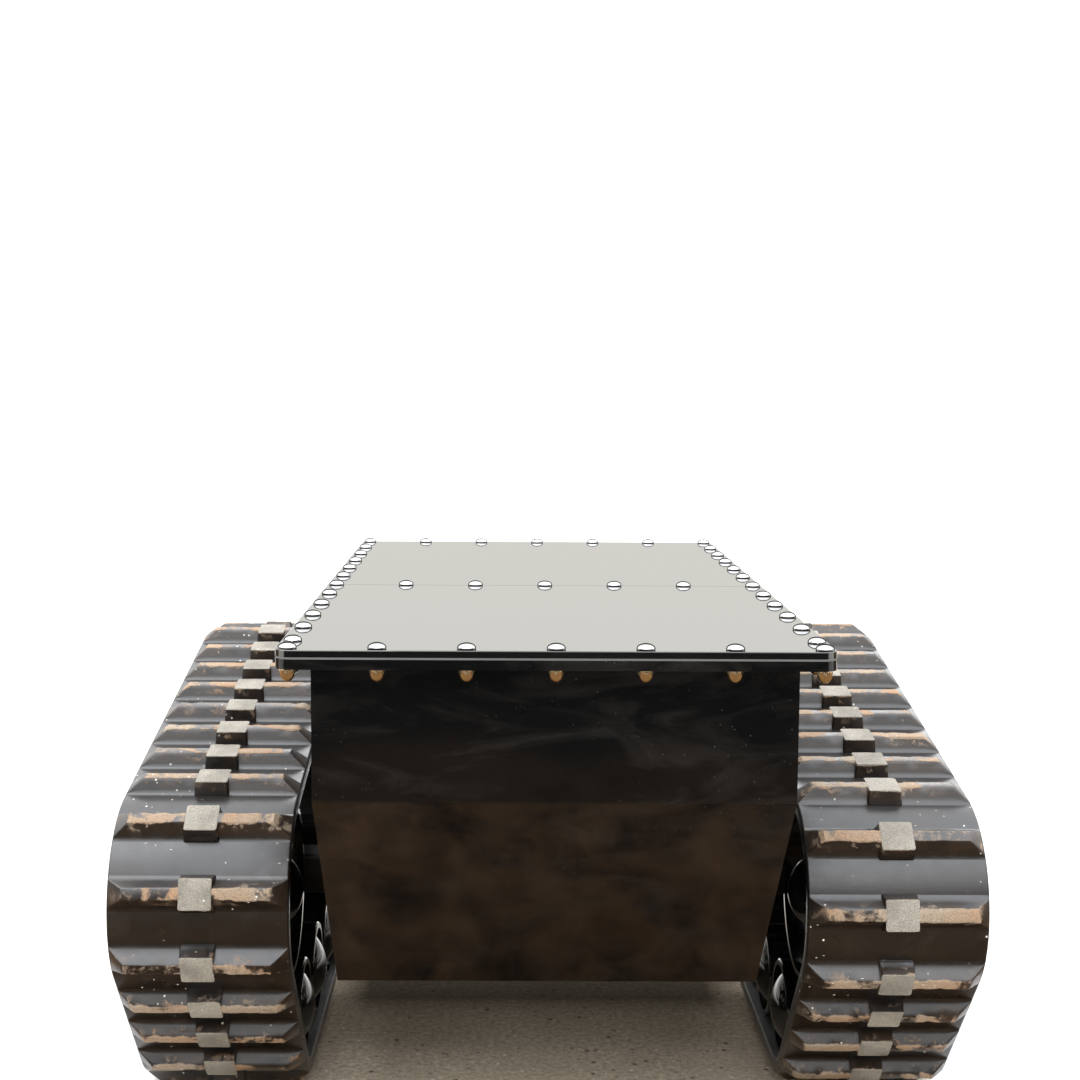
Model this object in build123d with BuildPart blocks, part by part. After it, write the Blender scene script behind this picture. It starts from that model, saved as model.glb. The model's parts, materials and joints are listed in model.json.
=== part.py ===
"""Tracked tank chassis: a bolted steel hull between two rubber tracks.

Millimetres, +Z up. The front faces -Y and +X is the chassis's own left-to-right axis as seen from
the front. The origin is under the middle of the lid, on the ground plane. Everything beside the hull is
drawn on the +X side and mirrored; the two tracks stand at different phases of their tread.
"""
import os
from math import acos, atan2, cos, degrees, hypot, pi, radians, sin

from build123d import *

os.makedirs("parts", exist_ok=True)

# Lid, rim and their bolts
BOLT_PITCH = 86.0
BOLT_EDGE = 12.0  # bolt centre to lid edge
BOLTS_ACROSS = 7
SIDE_STEPS = 11  # full pitches down each side, then half a pitch to the front corner
LID_TOP = 615.0
LID_T = 7.0
GASKET_T = 2.0
RIM_T = 10.0
LID_CORNER_R = 16.0
SEAM_GAP = 0.3
SEAM_STRIP = (50.0, 6.0)  # width, thickness
BOLT_HEAD_R = 9.2
BOLT_HEAD_H = 6.2
BOLT_SHANK_R = 3.9
BOLT_LENGTH = 25.0
BOLT_HOLE_R = 4.5
NUT_FLATS = 14.0
NUT_HEX_H = 5.5
NUT_DOME_R = 6.9
NUT_DOME_RISE = 1.4  # plain collar between the hexagon and the dome
NUT_BORE = (4.0, 12.3)  # radius, depth

# Hull
PLATE = 5.0
HULL_HALF = 238.0
HULL_FRONT = -474.5
FOLD_Z = 459.0
BELLY_Z = 189.0
BELLY_FRONT = -236.5
REAR_FOLD_Z = 300.0
BELLY_REAR = 394.0
RIM_INNER_HALF = 216.0

# Rubber track
LINK_PITCH = 72.0
LINKS = 27
BELT_PHASE = {"right": 64.5, "left": 48.0}  # first bar, from the start of the front road wheel's arc
BELT_X = 386.0
BELT_W = 200.0
CARCASS_IN = 8.0  # pitch line to the belt's inner face
CARCASS_OUT = 9.0
TREAD_TOP = 26.0  # pitch line to the crests of bars and blocks
BAR_BASE = (197.0, 36.0)  # across, along
BAR_CREST = (162.0, 13.0)
BLOCK_BASE = (40.0, 45.0)
BLOCK_CREST = (37.0, 37.0)
LUG_DEPTH = 14.0
LUG_BASE = (34.0, 17.0)
LUG_CREST = (30.0, 9.0)
ROOT = 4.0  # how deep bars, blocks and lugs are moulded into the carcass

# Running gear, centres as (y, z)
TEETH = 20
TOOTH_STEP = LINK_PITCH / 2
SPROCKET = (349.0, 370.0)
IDLER_Z = 276.0
IDLER_PITCH_R = 108.0
ROAD_PITCH_R = 68.0
ROAD_Y = (-72.0, 62.0, 196.0)
RETURN_R = 36.0
RETURN_Y = 66.0
WHEEL_GAP = 0.3  # wheel tread to belt
WHEEL_IN = 24.0  # inner edge of a half wheel, from the belt's centre plane
WHEEL_OUT = 92.0
RIM_WALL = 8.0
WEB = (72.0, 80.0)
HUB_R = 30.0
CAP_TOP = 103.0
AXLE_R = 10.0
AXLE_BORE = AXLE_R + 0.04
AXLE_HALF = 81.0
BEARING = (AXLE_BORE, 21.0, 12.0)  # bore radius, outer radius, width
HUB_BORE_R = 21.05
BEARING_X = (28.0, 64.0)
SHAFT_R = 12.5
SHAFT_BORE = SHAFT_R + 0.05  # sprocket keyed on the shaft
BEARING_BORE = SHAFT_R + 0.08

# Track frame and its tensioner
FRAME_HALF = 12.0
AXLE_BOSS_R = 22.0
FRAME_Z = (204.0, 300.0)
FRAME_REAR = 212.0
TUBE = (50.0, 4.0)  # side, wall
TUBE_YZ = ((-8.0, 250.0), (140.0, 250.0))
FLANGE = (100.0, 8.0)  # side, thickness
FLANGE_BOLT = 76.0  # spacing
TRAVEL = 20.0
SLIDER = (46.0, 40.0)  # length, height
SLIDE_GAP = 0.3
CHEEK_T = 4.0
CHEEK_LIP = 6.0
SCREW_R = 6.0
SCREW_FIT = 0.06
SCREW_NUT = (19.0, 10.0)  # across flats, thickness
WALL = 16.0  # frame left standing behind the slider's window

# Drive and electrics
MOTOR = (42.0, 112.0)  # radius, length
GEARBOX = (90.0, 88.0)  # side, length
GEARBOX_FLANGE = (118.0, 8.0)
GEARBOX_BOLT = 96.0
SHAFT_INNER = 172.0
BEARING_HOUSING = (78.0, 12.0, 34.0, 30.0)  # side, base, boss radius, whole depth
BATTERY = (290.0, 200.0, 165.0)
BATTERY_Y = -60.0
CONTROLLER = (190.0, 120.0, 48.0)
CONTROLLER_Y = 150.0

LID_HALF_X = (BOLTS_ACROSS - 1) / 2 * BOLT_PITCH + BOLT_EDGE
ROW_Y = (SIDE_STEPS + 0.5) / 2 * BOLT_PITCH
LID_HALF_Y = ROW_Y + BOLT_EDGE
SEAM_Y = ROW_Y - 6 * BOLT_PITCH
LID_UNDER = LID_TOP - LID_T
RIM_TOP = LID_UNDER - GASKET_T
HULL_TOP = RIM_TOP - RIM_T
SPROCKET_PITCH_R = TEETH * TOOTH_STEP / (2 * pi)
ROAD_Z = TREAD_TOP + ROAD_PITCH_R
AXIS_X = (1, 0, 0)


def save(part, label):
    """Name a finished piece and write it."""
    part.label = label
    export_step(part, f"parts/{label}.step")


def save_side(part, side, label):
    """Write a piece drawn on the right for one side, mirrored if that's the left."""
    save(part if side == "right" else mirror(part, about=Plane.YZ), f"{side}_{label}")


def save_pair(part, label):
    """Write a piece of the right-hand track, and its mirror image for the left-hand one."""
    for side in BELT_PHASE:
        save_side(part, side, label)


# ---------------------------------------------------------------- belt path
def pulleys(idler_y, extra=0.0):
    """The wheels that the belt wraps, anticlockwise in the YZ plane, as (y, z, radius)."""
    return (
        (ROAD_Y[0], ROAD_Z, ROAD_PITCH_R + extra),
        (ROAD_Y[-1], ROAD_Z, ROAD_PITCH_R + extra),
        (*SPROCKET, SPROCKET_PITCH_R + extra),
        (idler_y, IDLER_Z, IDLER_PITCH_R + extra),
    )


def path(idler_y, extra=0.0):
    """Straight runs and arcs of the loop: (wheel, start angle, end angle, run start, run end)."""
    wheels = pulleys(idler_y, extra)
    normals = []
    for a, b in zip(wheels, wheels[1:] + wheels[:1]):
        dy, dz = b[0] - a[0], b[1] - a[1]
        normals.append(atan2(dz, dy) - acos((a[2] - b[2]) / hypot(dy, dz)))
    pieces = []
    for i, (y, z, r) in enumerate(wheels):
        begin, end = normals[i - 1], normals[i]
        while end < begin:
            end += 2 * pi
        after = wheels[(i + 1) % len(wheels)]
        leave = (y + r * cos(end), z + r * sin(end))
        arrive = (after[0] + after[2] * cos(end), after[1] + after[2] * sin(end))
        pieces.append(((y, z, r), begin, end, leave, arrive))
    return pieces


def loop_length(idler_y):
    """Length of the belt's pitch line."""
    total = 0.0
    for (_, _, r), begin, end, leave, arrive in path(idler_y):
        total += r * (end - begin) + hypot(arrive[0] - leave[0], arrive[1] - leave[1])
    return total


def tensioned_idler():
    """Where the tensioner holds the idler, so that the loop is a whole number of links."""
    low, high = -320.0, 0.0
    for _ in range(60):
        middle = (low + high) / 2
        if loop_length(middle) > LINKS * LINK_PITCH:
            low = middle
        else:
            high = middle
    return middle


def along(distance):
    """Point (y, z) on the pitch line and the angle of the outward normal there."""
    distance %= LINKS * LINK_PITCH
    for (y, z, r), begin, end, leave, arrive in LOOP:
        arc = r * (end - begin)
        if distance <= arc:
            angle = begin + distance / r
            return y + r * cos(angle), z + r * sin(angle), angle
        distance -= arc
        run = hypot(arrive[0] - leave[0], arrive[1] - leave[1])
        if distance <= run:
            t = distance / run
            return leave[0] + t * (arrive[0] - leave[0]), leave[1] + t * (arrive[1] - leave[1]), end
        distance -= run
    return along(0.0)


def belt_plane(distance, height):
    """Plane across the belt: x along +X, y along the belt, z outward, at a height off the pitch line."""
    y, z, angle = along(distance)
    out = (0, cos(angle), sin(angle))
    spot = (BELT_X, y + height * cos(angle), z + height * sin(angle))
    return Plane(origin=spot, x_dir=AXIS_X, z_dir=out)


def loop_face(extra):
    """The closed loop's face at the belt's inboard edge, offset outward from the pitch line."""
    with BuildSketch(Plane.YZ.offset(BELT_X - BELT_W / 2)) as face:
        with BuildLine():
            for (y, z, r), begin, end, leave, arrive in path(IDLER_Y, extra):
                CenterArc((y, z), r, degrees(begin), degrees(end - begin))
                Line(leave, arrive)
        make_face()
    return face.sketch


IDLER_Y = tensioned_idler()
LOOP = path(IDLER_Y)
IDLER = (IDLER_Y, IDLER_Z)


# ---------------------------------------------------------------- hull
def inset(points, amount):
    """Move a convex anticlockwise outline inward by the same amount on every side but the last."""
    moved = []
    for i, point in enumerate(points):
        lines = []
        for a, b in ((points[i - 1], point), (point, points[(i + 1) % len(points)])):
            length = hypot(b[0] - a[0], b[1] - a[1])
            shift = 0.0 if (a, b) == (points[-1], points[0]) else amount
            normal = (-(b[1] - a[1]) / length, (b[0] - a[0]) / length)
            lines.append((normal, normal[0] * point[0] + normal[1] * point[1] + shift))
        (m, p), (n, q) = lines
        d = m[0] * n[1] - m[1] * n[0]
        moved.append(((p * n[1] - q * m[1]) / d, (q * m[0] - p * n[0]) / d))
    return moved


OUTER = [
    (HULL_FRONT, HULL_TOP),
    (HULL_FRONT, FOLD_Z),
    (BELLY_FRONT, BELLY_Z),
    (BELLY_REAR, BELLY_Z),
    (-HULL_FRONT, REAR_FOLD_Z),
    (-HULL_FRONT, HULL_TOP),
]
INNER = inset(OUTER, PLATE)
HULL_SHEETS = {"hull_front_plate": (0, 2), "hull_bottom_plate": (2, 3), "hull_rear_plate": (3, 5)}
SOCKET_YZ = (-120.0, 470.0)
SWITCH_YZ = (120.0, 470.0)
SOCKET_R = 17.0
SWITCH_CUT = (40.0, 26.0)

for sheet_name, (first, last) in HULL_SHEETS.items():
    with BuildPart() as sheet:
        with BuildSketch(Plane.YZ.offset(-HULL_HALF)):
            Polygon(*OUTER[first : last + 1], *reversed(INNER[first : last + 1]), align=None)
        extrude(amount=2 * HULL_HALF)
        if sheet_name == "hull_rear_plate":
            with BuildSketch(Plane.XZ.offset(HULL_FRONT)):
                with Locations(SOCKET_YZ):
                    Circle(SOCKET_R)
                with Locations(SWITCH_YZ):
                    Rectangle(*SWITCH_CUT)
            extrude(amount=2 * PLATE, both=True, mode=Mode.SUBTRACT)
    save(sheet.part, sheet_name)

with BuildPart() as side_plate:
    with BuildSketch(Plane.YZ.offset(HULL_HALF - PLATE)):
        Polygon(*INNER, align=None)
        with Locations(SPROCKET):
            Circle(SHAFT_R + 8, mode=Mode.SUBTRACT)
            with GridLocations(GEARBOX_BOLT, GEARBOX_BOLT, 2, 2):
                Circle(SCREW_R - 1, mode=Mode.SUBTRACT)
        with Locations(*TUBE_YZ):
            with GridLocations(FLANGE_BOLT, FLANGE_BOLT, 2, 2):
                Circle(SCREW_R - 1, mode=Mode.SUBTRACT)
    extrude(amount=PLATE)
save(side_plate.part, "hull_right_plate")
save(mirror(side_plate.part, about=Plane.YZ), "hull_left_plate")


# ---------------------------------------------------------------- lid
ACROSS = [(i - (BOLTS_ACROSS - 1) / 2) * BOLT_PITCH for i in range(BOLTS_ACROSS)]
RIM_BOLTS = [(x, y) for x in ACROSS for y in (-ROW_Y, ROW_Y)]
RIM_BOLTS += [(x, ROW_Y - i * BOLT_PITCH) for x in (ACROSS[0], ACROSS[-1]) for i in range(1, SIDE_STEPS + 1)]
SEAM_BOLTS = [(x, SEAM_Y) for x in ACROSS[1:-1]]


def ring(bottom, thickness):
    """A flat frame that follows the rim, with the bolt holes through it."""
    with BuildPart() as frame:
        with BuildSketch(Plane.XY.offset(bottom)):
            RectangleRounded(2 * LID_HALF_X, 2 * LID_HALF_Y, LID_CORNER_R)
            Rectangle(2 * RIM_INNER_HALF, 2 * (LID_HALF_Y - LID_HALF_X + RIM_INNER_HALF), mode=Mode.SUBTRACT)
            with Locations(*RIM_BOLTS):
                Circle(BOLT_HOLE_R, mode=Mode.SUBTRACT)
        extrude(amount=thickness)
    return frame.part


save(ring(HULL_TOP, RIM_T), "hull_rim_flange")
save(ring(RIM_TOP, GASKET_T), "lid_gasket")

for lid_name, near, far in (
    ("lid_front_plate", -LID_HALF_Y, SEAM_Y - SEAM_GAP / 2),
    ("lid_rear_plate", SEAM_Y + SEAM_GAP / 2, LID_HALF_Y),
):
    with BuildPart() as lid:
        with BuildSketch(Plane.XY.offset(LID_UNDER)):
            RectangleRounded(2 * LID_HALF_X, 2 * LID_HALF_Y, LID_CORNER_R)
            with Locations((0, (near + far) / 2)):
                Rectangle(2 * LID_HALF_X, far - near, mode=Mode.INTERSECT)
            with Locations(*RIM_BOLTS, *SEAM_BOLTS):
                Circle(BOLT_HOLE_R, mode=Mode.SUBTRACT)
        extrude(amount=LID_T)
        chamfer(lid.faces().sort_by(Axis.Z)[-1].outer_wire().edges(), 0.8)
    save(lid.part, lid_name)

with BuildPart() as seam_strip:
    with BuildSketch(Plane.XY.offset(LID_UNDER - SEAM_STRIP[1])):
        with Locations((0, SEAM_Y)):
            Rectangle(2 * RIM_INNER_HALF - 2, SEAM_STRIP[0])
        with Locations(*SEAM_BOLTS):
            Circle(BOLT_HOLE_R, mode=Mode.SUBTRACT)
    extrude(amount=SEAM_STRIP[1])
save(seam_strip.part, "lid_seam_strip")

DOME_R = (BOLT_HEAD_R**2 + BOLT_HEAD_H**2) / (2 * BOLT_HEAD_H)
with BuildPart() as dome_bolt:
    Sphere(DOME_R)
    split(bisect_by=Plane.XY.offset(DOME_R - BOLT_HEAD_H))
    with Locations((0, 0, DOME_R - BOLT_HEAD_H)):
        Cylinder(BOLT_SHANK_R, BOLT_LENGTH, align=(Align.CENTER, Align.CENTER, Align.MAX))

with BuildPart() as lid_bolts:
    with Locations(*[(x, y, LID_TOP - DOME_R + BOLT_HEAD_H) for x, y in RIM_BOLTS + SEAM_BOLTS]):
        add(dome_bolt.part)
save(lid_bolts.part, "lid_bolts")

with BuildPart() as lid_nuts:
    for seats, seat_z in ((RIM_BOLTS, HULL_TOP), (SEAM_BOLTS, LID_UNDER - SEAM_STRIP[1])):
        with BuildSketch(Plane.XY.offset(seat_z)):
            with Locations(*seats):
                RegularPolygon(NUT_FLATS / 2, 6, major_radius=False)
        extrude(amount=-NUT_HEX_H)
        with Locations(*[(x, y, seat_z - NUT_HEX_H) for x, y in seats]):
            Cylinder(NUT_DOME_R, NUT_DOME_RISE, align=(Align.CENTER, Align.CENTER, Align.MAX))
        with Locations(*[(x, y, seat_z - NUT_HEX_H - NUT_DOME_RISE) for x, y in seats]):
            Sphere(NUT_DOME_R)
        with Locations(*[(x, y, seat_z) for x, y in seats]):
            Cylinder(*NUT_BORE, align=(Align.CENTER, Align.CENTER, Align.MAX), mode=Mode.SUBTRACT)
save(lid_nuts.part, "lid_nuts")


# ---------------------------------------------------------------- inside the hull
FLOOR = BELLY_Z + PLATE
TRAY_T = 3.0
TRAY_LIP = 24.0

with BuildPart() as battery_tray:
    with BuildSketch(Plane.XY.offset(FLOOR)):
        with Locations((0, BATTERY_Y)):
            Rectangle(BATTERY[0] + 2 * TRAY_T + 1, BATTERY[1] + 2 * TRAY_T + 1)
    extrude(amount=TRAY_LIP)
    with BuildSketch(Plane.XY.offset(FLOOR + TRAY_T)):
        with Locations((0, BATTERY_Y)):
            Rectangle(BATTERY[0] + 1, BATTERY[1] + 1)
    extrude(amount=TRAY_LIP, mode=Mode.SUBTRACT)
save(battery_tray.part, "battery_tray")

with BuildPart() as battery:
    with BuildSketch(Plane.XY.offset(FLOOR + TRAY_T)):
        with Locations((0, BATTERY_Y)):
            RectangleRounded(BATTERY[0], BATTERY[1], 8)
    extrude(amount=BATTERY[2])
    with BuildSketch(battery.faces().sort_by(Axis.Z)[-1]):
        with GridLocations(BATTERY[0] - 60, 0, 2, 1):
            Circle(9)
    extrude(amount=14)
save(battery.part, "battery_pack")

with BuildPart() as controller:
    with BuildSketch(Plane.XY.offset(FLOOR)):
        with Locations((0, CONTROLLER_Y)):
            Rectangle(CONTROLLER[0], CONTROLLER[1])
    extrude(amount=CONTROLLER[2] / 2)
    with BuildSketch(controller.faces().sort_by(Axis.Z)[-1]):
        with GridLocations(0, 11, 1, 10):
            Rectangle(CONTROLLER[0] - 10, 3)
    extrude(amount=CONTROLLER[2] / 2)
save(controller.part, "motor_controller")

REAR_FACE = Plane.XZ.offset(HULL_FRONT)  # its normal points to the front
SOCKET_BODY = 24.0  # depth behind the plate
SOCKET_RIM = 4.0
SOCKET_CAP = (15.0, 11.0)  # radius and height of the screwed dust cap
with BuildPart() as charge_socket:
    with BuildSketch(REAR_FACE):
        with Locations(SOCKET_YZ):
            Circle(SOCKET_R + 8)
    extrude(amount=-SOCKET_RIM)
    with BuildSketch(REAR_FACE):
        with Locations(SOCKET_YZ):
            Circle(SOCKET_R - 0.3)
    extrude(amount=SOCKET_BODY)
    with BuildSketch(REAR_FACE.offset(-SOCKET_RIM)):
        with Locations(SOCKET_YZ):
            Circle(SOCKET_CAP[0])
            with PolarLocations(SOCKET_CAP[0], 12):
                Circle(1.5, mode=Mode.SUBTRACT)
    extrude(amount=-SOCKET_CAP[1])
    chamfer(charge_socket.faces().sort_by(Axis.Y)[-1].outer_wire().edges(), 1.2)
save(charge_socket.part, "charge_socket")

ROCKER = (29.0, 18.0)
ROCKER_AXIS_Y = -HULL_FRONT - 2.0  # it turns about an upright axis just behind the bezel's face
PIVOT = (1.6, 1.5)  # radius and length of the rocker's trunnions
PIVOT_GAP = 0.3
PIVOT_AT = (SWITCH_YZ[0], ROCKER_AXIS_Y)
with BuildPart() as switch_bezel:
    with BuildSketch(REAR_FACE):
        with Locations(SWITCH_YZ):
            RectangleRounded(SWITCH_CUT[0] + 12, SWITCH_CUT[1] + 12, 5)
    extrude(amount=-4)
    with BuildSketch(REAR_FACE):
        with Locations(SWITCH_YZ):
            Rectangle(SWITCH_CUT[0] - 0.6, SWITCH_CUT[1] - 0.6)
    extrude(amount=26)
    with BuildSketch(REAR_FACE.offset(-4)):
        with Locations(SWITCH_YZ):
            Rectangle(ROCKER[0] + 3, ROCKER[1] + 0.8)
    extrude(amount=26, mode=Mode.SUBTRACT)
    with BuildSketch(Plane.XY.offset(SWITCH_YZ[1])):
        with Locations(PIVOT_AT):
            Circle(PIVOT[0] + PIVOT_GAP)
    extrude(amount=ROCKER[1] / 2 + PIVOT[1] + PIVOT_GAP, both=True, mode=Mode.SUBTRACT)
save(switch_bezel.part, "switch_bezel")

with BuildPart() as rocker:
    with BuildSketch(Plane(origin=(*PIVOT_AT, SWITCH_YZ[1] - ROCKER[1] / 2))):
        with BuildLine():
            left = (-ROCKER[0] / 2, 6.5)
            right = (ROCKER[0] / 2, 3.0)
            ThreePointArc(left, (0, 3.4), right)
            Line(right, (6, -8))
            Line((6, -8), (-6, -8))
            Line((-6, -8), left)
        make_face()
    extrude(amount=ROCKER[1])
    with BuildSketch(Plane.XY.offset(SWITCH_YZ[1])):
        with Locations(PIVOT_AT):
            Circle(PIVOT[0])
    extrude(amount=ROCKER[1] / 2 + PIVOT[1], both=True)
save(rocker.part, "power_rocker")


# ---------------------------------------------------------------- wheels
def wheel_plane(centre):
    """Plane through a wheel's axis: x across the belt, y up."""
    return Plane(origin=(BELT_X, *centre), x_dir=AXIS_X, z_dir=(0, -1, 0))


def half_wheel(centre, tread_r, cap_r, bore_r, bore_end):
    """The section of one half of a wheel: tread, web, hub and domed cap."""
    with BuildSketch(wheel_plane(centre)) as section:
        with BuildLine():
            Line((bore_end, 0), (CAP_TOP, 0))
            ThreePointArc((CAP_TOP, 0), dome_point(cap_r), (WEB[1] + 4, cap_r))
            Polyline(
                (WEB[1] + 4, cap_r),
                (WEB[1], cap_r),
                (WEB[1], tread_r - RIM_WALL),
                (WHEEL_OUT, tread_r - RIM_WALL),
                (WHEEL_OUT, tread_r - 2),
                (WHEEL_OUT - 2, tread_r),
                (WHEEL_IN + 2, tread_r),
                (WHEEL_IN, tread_r - 2),
                (WHEEL_IN, tread_r - RIM_WALL),
                (WEB[0], tread_r - RIM_WALL),
                (WEB[0], HUB_R),
                (WHEEL_IN + 2, HUB_R),
                (WHEEL_IN + 2, bore_r),
                (bore_end, bore_r),
                (bore_end, 0),
            )
        make_face()
    return section.sketch


def dome_point(cap_r):
    """A point half way along the dome's arc."""
    rise = CAP_TOP - WEB[1] - 4
    radius = (cap_r**2 + rise**2) / (2 * rise)
    half = acos((radius - rise) / radius) / 2
    return CAP_TOP - radius + radius * cos(half), radius * sin(half)


def paired_wheel(centre, tread_r, cap_r):
    """Two half wheels, back to back about the belt's centre plane."""
    with BuildPart() as wheel:
        section = half_wheel(centre, tread_r, cap_r, HUB_BORE_R, WEB[1] + 4)
        revolve(section, axis=Axis((BELT_X, *centre), AXIS_X))
        mirror(about=Plane.YZ.offset(BELT_X))
    return wheel.part


ROAD_R = ROAD_PITCH_R - CARCASS_IN - WHEEL_GAP
IDLER_R = IDLER_PITCH_R - CARCASS_IN - WHEEL_GAP
ROAD_CAP_R = 45.0
CAP_R = 38.0
TOP_RUN = LOOP[2]
TOP_ANGLE = TOP_RUN[2]
top_y, top_z = TOP_RUN[3]
RETURN_Z = (
    top_z
    + (RETURN_Y - top_y) * (TOP_RUN[4][1] - top_z) / (TOP_RUN[4][0] - top_y)
    - (CARCASS_IN + WHEEL_GAP + RETURN_R) / sin(TOP_ANGLE)
)
RETURN = (RETURN_Y, RETURN_Z)

for number, road_y in enumerate(ROAD_Y, 1):
    save_pair(paired_wheel((road_y, ROAD_Z), ROAD_R, ROAD_CAP_R), f"road_wheel_{number}")
save_pair(paired_wheel(IDLER, IDLER_R, CAP_R), "idler_wheel")

with BuildPart() as return_roller:
    with BuildSketch(wheel_plane(RETURN)):
        with BuildLine():
            Polyline(
                (WHEEL_IN, HUB_BORE_R),
                (WEB[1] + 4, HUB_BORE_R),
                (WEB[1] + 4, 0),
                (WHEEL_OUT, 0),
                (WHEEL_OUT, RETURN_R - 3),
                (WHEEL_OUT - 3, RETURN_R),
                (WHEEL_IN, RETURN_R),
                (WHEEL_IN, HUB_BORE_R),
            )
        make_face()
    revolve(axis=Axis((BELT_X, *RETURN), AXIS_X))
    mirror(about=Plane.YZ.offset(BELT_X))
save_pair(return_roller.part, "return_roller")


# ---------------------------------------------------------------- sprocket and its shaft
TREAD_IN = SPROCKET_PITCH_R - CARCASS_IN
LUG_TIP = TREAD_IN - LUG_DEPTH
TOOTH = [(0, -7.5), (4, -7.0), (18.5, -3.5), (18.5, 3.5), (4, 7.0), (0, 7.5)]
TOOTH_HALF = 14.0
TOOTH_ROOT = 6.0  # below the lugs' tips
WEB_HOLES = (70.0, 6, 17.0)  # circle's radius, count, hole radius
ARC_START = sum(
    r * (end - begin) + hypot(arrive[0] - leave[0], arrive[1] - leave[1])
    for (_, _, r), begin, end, leave, arrive in LOOP[:2]
)


def drive_sprocket(phase):
    """Two half wheels with a toothed ring between them, its teeth half way between the belt's lugs."""
    first_lug = LOOP[2][1] + ((phase - ARC_START) % TOOTH_STEP) / SPROCKET_PITCH_R
    first_tooth = degrees(first_lug) + 180 / TEETH
    axis = Axis((BELT_X, *SPROCKET), AXIS_X)
    disc_r = LUG_TIP - 2
    with BuildPart() as sprocket:
        section = half_wheel(SPROCKET, TREAD_IN - WHEEL_GAP, CAP_R, SHAFT_BORE, WEB[1])
        revolve(section, axis=axis)
        mirror(about=Plane.YZ.offset(BELT_X))
        with BuildSketch(wheel_plane(SPROCKET)):
            for half, outer in ((TOOTH_HALF, disc_r), (WHEEL_IN + 3, HUB_R)):
                with Locations((0, (SHAFT_BORE + outer) / 2)):
                    Rectangle(2 * half, outer - SHAFT_BORE)
        revolve(axis=axis)
        with BuildSketch(Plane.YZ.offset(BELT_X - TOOTH_HALF)):
            with Locations(SPROCKET):
                with PolarLocations(LUG_TIP - TOOTH_ROOT, TEETH, start_angle=first_tooth):
                    with Locations((0, 0)):
                        Polygon(*TOOTH, align=None)
        extrude(amount=2 * TOOTH_HALF)
        with BuildSketch(Plane.YZ.offset(BELT_X - WEB[1] - 1)):
            with Locations(SPROCKET):
                with PolarLocations(*WEB_HOLES[:2]):
                    Circle(WEB_HOLES[2])
        extrude(amount=2 * WEB[1] + 2, mode=Mode.SUBTRACT)
        with BuildSketch(Plane.YZ.offset(BELT_X - CAP_TOP - 1)):
            with Locations(SPROCKET):
                Circle(SHAFT_BORE)
        extrude(amount=CAP_TOP, mode=Mode.SUBTRACT)
    return sprocket.part


for side, phase in BELT_PHASE.items():
    save_side(drive_sprocket(phase), side, "sprocket")

with BuildPart() as drive_shaft:
    with BuildSketch(Plane.YZ.offset(SHAFT_INNER)):
        with Locations(SPROCKET):
            Circle(SHAFT_R)
    extrude(amount=BELT_X + WEB[1] - SHAFT_INNER)
    chamfer(drive_shaft.edges().filter_by(GeomType.CIRCLE), 1.5)
save_pair(drive_shaft.part, "drive_shaft")

with BuildPart() as shaft_bearing:
    with BuildSketch(Plane.YZ.offset(HULL_HALF)):
        with Locations(SPROCKET):
            RectangleRounded(BEARING_HOUSING[0], BEARING_HOUSING[0], 12)
    extrude(amount=BEARING_HOUSING[1])
    with BuildSketch(Plane.YZ.offset(HULL_HALF)):
        with Locations(SPROCKET):
            Circle(BEARING_HOUSING[2])
    extrude(amount=BEARING_HOUSING[3])
    with BuildSketch(Plane.YZ.offset(HULL_HALF)):
        with Locations(SPROCKET):
            Circle(BEARING_BORE)
    extrude(amount=BEARING_HOUSING[3], mode=Mode.SUBTRACT)
    fillet(shaft_bearing.faces().sort_by(Axis.X)[-1].outer_wire().edges(), 4)
save_pair(shaft_bearing.part, "shaft_bearing")

GEARBOX_OUT = HULL_HALF - PLATE
with BuildPart() as gearbox:
    with BuildSketch(Plane.YZ.offset(GEARBOX_OUT - GEARBOX[1])):
        with Locations(SPROCKET):
            RectangleRounded(GEARBOX[0], GEARBOX[0], 10)
    extrude(amount=GEARBOX[1])
    with BuildSketch(Plane.YZ.offset(GEARBOX_OUT - GEARBOX_FLANGE[1])):
        with Locations(SPROCKET):
            RectangleRounded(GEARBOX_FLANGE[0], GEARBOX_FLANGE[0], 10)
    extrude(amount=GEARBOX_FLANGE[1])
    with BuildSketch(Plane.YZ.offset(GEARBOX_OUT)):
        with Locations(SPROCKET):
            with GridLocations(GEARBOX_BOLT, GEARBOX_BOLT, 2, 2):
                Circle(SCREW_R - 1)
    extrude(amount=-GEARBOX_FLANGE[1], mode=Mode.SUBTRACT)
    with BuildSketch(Plane.YZ.offset(SHAFT_INNER - 1)):
        with Locations(SPROCKET):
            Circle(BEARING_BORE)
    extrude(amount=GEARBOX_OUT - SHAFT_INNER + 2, mode=Mode.SUBTRACT)
save_pair(gearbox.part, "gearbox")

with BuildPart() as motor:
    with BuildSketch(Plane.YZ.offset(GEARBOX_OUT - GEARBOX[1])):
        with Locations(SPROCKET):
            Circle(MOTOR[0])
    extrude(amount=-MOTOR[1])
    fillet(motor.faces().sort_by(Axis.X)[0].edges(), 6)
save_pair(motor.part, "drive_motor")


# ---------------------------------------------------------------- track frame
with BuildPart() as axles:
    with BuildSketch(Plane.YZ.offset(BELT_X - AXLE_HALF)):
        with Locations(*[(y, ROAD_Z) for y in ROAD_Y]):
            Circle(AXLE_R)
    extrude(amount=2 * AXLE_HALF)
save_pair(axles.part, "road_axles")

for axle_name, centre in (("return_axle", RETURN), ("idler_axle", IDLER)):
    with BuildPart() as axle:
        with BuildSketch(Plane.YZ.offset(BELT_X - AXLE_HALF)):
            with Locations(centre):
                Circle(AXLE_R)
        extrude(amount=2 * AXLE_HALF)
    save_pair(axle.part, axle_name)

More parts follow.
